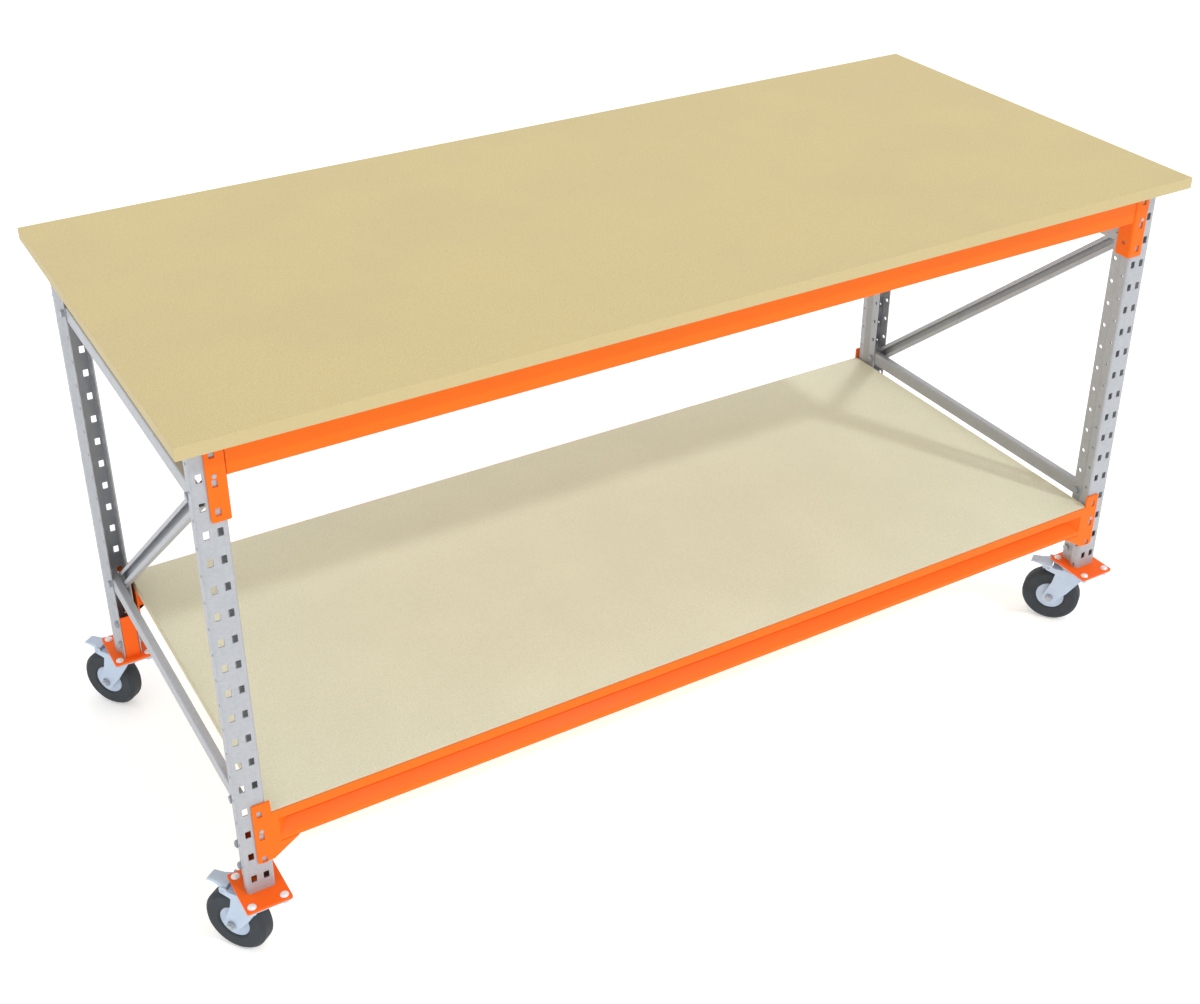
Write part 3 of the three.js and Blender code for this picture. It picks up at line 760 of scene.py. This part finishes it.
def foot_plate():
    form = Form()
    holes = [circle(x, FOOT_Y + y, 4.4) for x, y in BOLT_SPOTS]
    form.along_z(centred(0, FOOT_Y, FOOT, 4), CASTOR_TOP, POST_FOOT, holes)
    wide = THROAT_IN - SHEET / 2
    back = POST_DEPTH - SHEET / 2
    path = [(-wide, STEP_END), (-wide, back), (wide, back), (wide, STEP_END)]
    form.along_z(folded(path, SHEET, 2), POST_FOOT - CHANNEL_SINK, POST_FOOT + CHANNEL_HEIGHT)
    return form


def corner_bolts():
    form = Form()
    dome = [(8, 0), (7.9, 0.6), (7, 1.9), (5, 3.4), (2.5, 4.2), (0.02, 4.4)]
    for x, y in BOLT_SPOTS:
        form.turned(dome, Matrix.Translation((x, FOOT_Y + y, POST_FOOT)), 24)
    return form


foot = foot_plate()
fasteners = corner_bolts()
for name, side in CORNERS.items():
    place = corner_place(side) @ Matrix.Translation((POST_X, 0, 0))
    piece(f"foot_plate_{name}", foot, deep_orange, place=place, nodes=[f"foot_{name}"], bevel=0.5)
    # The dome heads take the near-white bolt look, whose colour is a painted highlight
    piece(f"corner_bolts_{name}", fasteners, bolt_head_highlight_look, place=place, bevel=0.4)


# Castors, drawn about the swivel axis with the wheel trailing along +x
SWIVEL_PLATE = (78, 100)
KINGPIN_R = 6.8
BORE_R = 7.2
NUT_R = 7.4
NUT_DROP = 5.8  # under the swivel plate
BOLT_DROP = 6
CUP_R = 39
RIM_GAP = 1.3  # from the cup's rim to the swivel plate
LEG_END_R = 15
PIN_R = 3
AXLE_R = 4.9
AXLE_WASHER = 1.6  # from the fork's leg
AXLE_NUT = 5
AXLE_END = 6.8


def castor_top():
    form = Form()
    form.along_z(centred(0, 0, SWIVEL_PLATE, 5), PLATE_UNDER, CASTOR_TOP)
    race = [(8, -7), (22, -7), (25.6, -5.6), (27, -3), (27, 0)]
    form.turned(race, Matrix.Translation((0, 0, PLATE_UNDER)), 48)
    form.along_z(circle(0, 0, KINGPIN_R, 24), CROWN_UNDER - 4, PLATE_UNDER)
    form.along_z(hexagon(0, 0, 10.8), CROWN_UNDER - 5, CROWN_UNDER - GAP)
    for x, y in BOLT_SPOTS:
        form.along_z(hexagon(x, y, NUT_R), PLATE_UNDER - NUT_DROP, PLATE_UNDER)
        form.along_z(circle(x, y, 3.9, 12), PLATE_UNDER - BOLT_DROP, PLATE_UNDER)
    return form


def leg_outline():
    points = [(-12, CROWN_TOP), (-10, CROWN_TOP - 16), (TRAIL - 36, WHEEL_R + 20)]
    for i in range(13):
        angle = math.radians(215 + i * 13)
        points.append((TRAIL + LEG_END_R * math.cos(angle), WHEEL_R + LEG_END_R * math.sin(angle)))
    points += [
        (TRAIL - 1, CROWN_TOP - 36),
        (TRAIL - 5.5, PIVOT[1] - 12),
        (PIVOT[0] + 6, PIVOT[1] - 5),
        (PIVOT[0] + 6, PIVOT[1] + 6.5),
        (PIVOT[0] - 7, PIVOT[1] + 7.6),
        (PIVOT[0] - 10, CROWN_TOP),
    ]
    return filleted(points, 2.5, closed=True, steps=3)


def fork():
    form = Form()
    hole = circle(TRAIL, WHEEL_R, 5.3)
    outline = leg_outline()
    form.along_y(outline, LEG_IN, LEG_OUT, [hole])
    form.along_y(outline, -LEG_OUT, -LEG_IN, [hole])
    bridge = rectangle(-11, TRAIL + 3, -LEG_IN - 0.5, LEG_IN + 0.5)
    form.along_z(bridge, CROWN_UNDER, CROWN_TOP, [circle(0, 0, BORE_R, 24)])
    rim = PLATE_UNDER - RIM_GAP
    cup = [
        (BORE_R, CROWN_UNDER),
        (CUP_R - 3, CROWN_UNDER),
        (CUP_R, CROWN_UNDER + 3),
        (CUP_R, rim - 1),
        (CUP_R - 1, rim),
        (CUP_R - 9, rim),
        (CUP_R - 10, CROWN_TOP),
        (BORE_R, CROWN_TOP),
    ]
    form.turned(cup, Matrix(), 48)
    form.along_y(circle(*PIVOT, PIN_R, 16), -LEG_OUT, LEG_OUT)
    return form


LIE = Matrix.Translation((TRAIL, 0, WHEEL_R)) @ Matrix.Rotation(-math.pi / 2, 4, "X")


def both_sides(half):
    """Closed profile of a wheel's piece from the (radius, width) points of one side."""
    mirrored = [(r, -h) for r, h in half]
    return mirrored + half[::-1] + mirrored[:1]


def tyre():
    side_wall = [(31.3, 15), (33, 17), (36, 18), (54, 18)]
    tread = [(56.2, 17.3), (61.2, 12.2), (62.2, 10.8), (62.5, 9)]
    return Form().turned(both_sides(side_wall + tread), LIE, 96)


def hub():
    half = [(5.2, 20.4), (9, 20.4), (11, 19.6), (12, 18), (14, 16.2), (20, 15), (27, 14.6), (30.6, 14.8)]
    return Form().turned(both_sides(half), LIE, 72)


def axle():
    form = Form()
    form.along_y(circle(TRAIL, WHEEL_R, AXLE_R, 24), -LEG_OUT - AXLE_END, LEG_OUT + AXLE_END)
    near, middle, far = (LEG_OUT + step for step in (GAP, AXLE_WASHER, AXLE_NUT))
    for low, high in ((near, middle), (-middle, -near)):
        form.along_y(circle(TRAIL, WHEEL_R, 8.9, 28), low, high)
    for low, high in ((middle, far), (-far, -middle)):
        form.along_y(hexagon(TRAIL, WHEEL_R, 8.6), low, high)
    return form


def pedal():
    """Pressed tread, narrow at the tip, with its sides folded down into ears at the pivot."""
    form = Form()
    u, z = PIVOT
    top = z + PEDAL_RISE
    sheet = 2.4
    # Distance behind the pivot, half width, fall of the tread and depth of the sides
    stations = [
        (-5.5, 19, 0, 12.9),
        (0, 19, 0.3, 12.6),
        (6, 17, 0.7, 12.2),
        (10, 15.7, 1, 11.8),
        (18, 13, 1.5, 8),
        (28, 12.6, 2.2, 5),
        (36, 12.2, 2.7, 3.8),
        (39.5, 12, 3.2, 3.6),
        (41.5, 11.6, 6.6, 3.6),
    ]
    rings = []
    for along, wide, fall, ear in stations:
        over = [(wide, -ear), (wide, -2.4), (wide - 0.7, -0.7), (wide - 2.4, 0)]
        under = [(wide - sheet - 1, -sheet), (wide - sheet, -sheet - 1), (wide - sheet, -ear)]
        right = over[::-1] + under[::-1]
        left = [(-v, h) for v, h in over]
        inside = [(-v, h) for v, h in under]
        loop = left + right + inside
        rings.append([form.bm.verts.new((u + along, v, top - fall + h)) for v, h in loop])
    form.skin(rings)
    form.bm.faces.new(rings[0][::-1])
    form.bm.faces.new(rings[-1])
    rear_wall = rectangle(-18.5, 18.5, CROWN_TOP + 0.8, top - 1)
    form.along_x(rear_wall, u - 5.5, u - 3.1)
    barrel = circle(u, z, 5.4, 24)
    form.along_y(barrel, -18.9, 18.9, [circle(u, z, PIN_R + 0.2, 16)])
    shoe = rectangle(u + 8, u + 14, z - 12, top - 2.6)
    form.along_y(shoe, -10, 10)
    return form


castor_forms = {
    "fork": (fork(), zinc, "castor", 0.7),
    "tyre": (tyre(), rubber, "wheel", 0),
    "hub": (hub(), hub_grey, "wheel", 0),
    "axle": (axle(), steel, "castor", 0.4),
    "brake_pedal": (pedal(), zinc, "brake", 0),
}
top_plate = castor_top()
for name, (x, y) in CORNERS.items():
    centre = Matrix.Translation((x * POST_X, y * (FACE_Y - FOOT_Y), 0))
    piece(f"swivel_plate_{name}", top_plate, zinc, place=centre, nodes=[f"castor_plate_{name}"], bevel=0.5)
    turned_place = centre @ Matrix.Rotation(CASTOR_TURN, 4, "Z")
    for part, (form, look, body, bevel) in castor_forms.items():
        piece(
            f"castor_{part}_{name}",
            form,
            look,
            body=f"{body}_{name}",
            place=turned_place,
            nodes=[f"{part}_{name}"],
            bevel=bevel,
        )


# Floor, light and camera, in metres
FLOOR_HALF = 30
FLOOR_GLOW = 0.35
STUDIO_LIGHT = 0.92
KEY_AIM = (-0.292, 0.649, -0.702)
CAMERA_PLACE = (-1.5056, -2.4837, 2.2834)
CAMERA_AIM = (0.4392, 0.7514, -0.4924)


def floor():
    bm = bmesh.new()
    bmesh.ops.create_grid(bm, x_segments=8, y_segments=8, size=FLOOR_HALF)
    mesh = bpy.data.meshes.new("studio_floor")
    bm.to_mesh(mesh)
    bm.free()
    ground = bpy.data.objects.new("studio_floor", mesh)
    bpy.context.collection.objects.link(ground)
    material = bpy.data.materials.new("studio_floor")
    material.use_nodes = True
    shader = material.node_tree.nodes["Principled BSDF"]
    shader.inputs["Base Color"].default_value = (0.9, 0.9, 0.9, 1)
    shader.inputs["Roughness"].default_value = 0.8
    shader.inputs["Emission Color"].default_value = (1, 1, 1, 1)
    shader.inputs["Emission Strength"].default_value = FLOOR_GLOW
    mesh.materials.append(material)


floor()

# The backdrop shows as white as the floor, and lights the table a little less
world = bpy.data.worlds.new("studio")
world.use_nodes = True
background = world.node_tree.nodes["Background"]
background.inputs["Color"].default_value = (1, 1, 1, 1)
seen = world.node_tree.nodes.new("ShaderNodeLightPath")
strength = world.node_tree.nodes.new("ShaderNodeMapRange")
strength.inputs["To Min"].default_value = STUDIO_LIGHT
strength.inputs["To Max"].default_value = 1
world.node_tree.links.new(seen.outputs["Is Camera Ray"], strength.inputs["Value"])
world.node_tree.links.new(strength.outputs["Result"], background.inputs["Strength"])
bpy.context.scene.world = world

sun = bpy.data.lights.new("key_light", "SUN")
sun.energy = 0.8
sun.angle = math.radians(3)
key = bpy.data.objects.new("key_light", sun)
key.rotation_mode = "QUATERNION"
key.rotation_quaternion = Vector(KEY_AIM).to_track_quat("-Z", "Y")
bpy.context.collection.objects.link(key)

lens = bpy.data.cameras.new("camera")
lens.lens = 50.1
lens.sensor_width = 36
lens.shift_y = -0.08
lens.clip_end = 100
camera = bpy.data.objects.new("camera", lens)
camera.location = CAMERA_PLACE
camera.rotation_mode = "QUATERNION"
camera.rotation_quaternion = Vector(CAMERA_AIM).to_track_quat("-Z", "Y")
bpy.context.collection.objects.link(camera)
bpy.context.scene.camera = camera
bpy.context.scene.view_settings.view_transform = "Standard"
